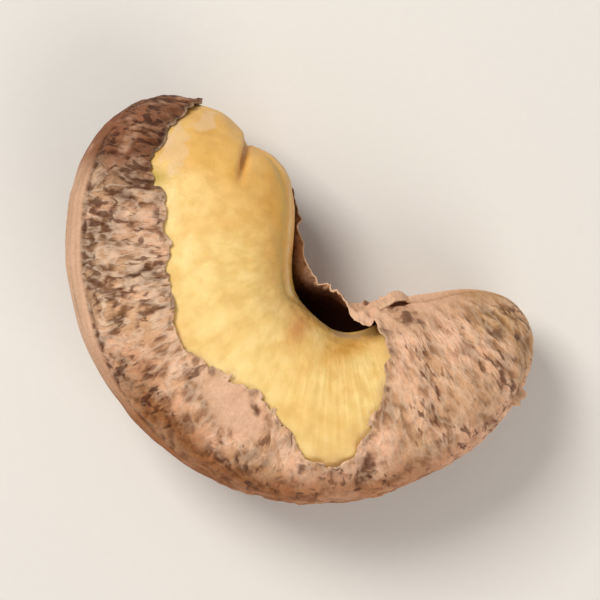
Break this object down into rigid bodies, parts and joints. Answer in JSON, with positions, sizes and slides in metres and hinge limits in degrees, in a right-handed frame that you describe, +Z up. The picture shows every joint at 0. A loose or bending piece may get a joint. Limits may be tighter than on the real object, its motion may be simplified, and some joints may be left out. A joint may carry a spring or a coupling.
{
  "type": "roasted cashew nut with skin",
  "caption": "Kidney-shaped roasted cashew kernel in a thin papery skin that is torn open over its broad side; rests on that side's back.",
  "frame": {"origin": "bottom centre of the bounding box, on the surface that the nut rests on", "axes": "+X along the nut's length towards the slim lobe, +Y out of the open notch between the lobes, +Z up, with the torn side of the skin on top"},
  "size_m": [0.0304, 0.0195, 0.0129],
  "materials": {
    "kernel_flesh": "oily satin",
    "papery_skin": "matte"
  },
  "bodies": {
    "root": {"kernel": "kernel_flesh", "skin": "papery_skin"}
  },
  "joints": []
}
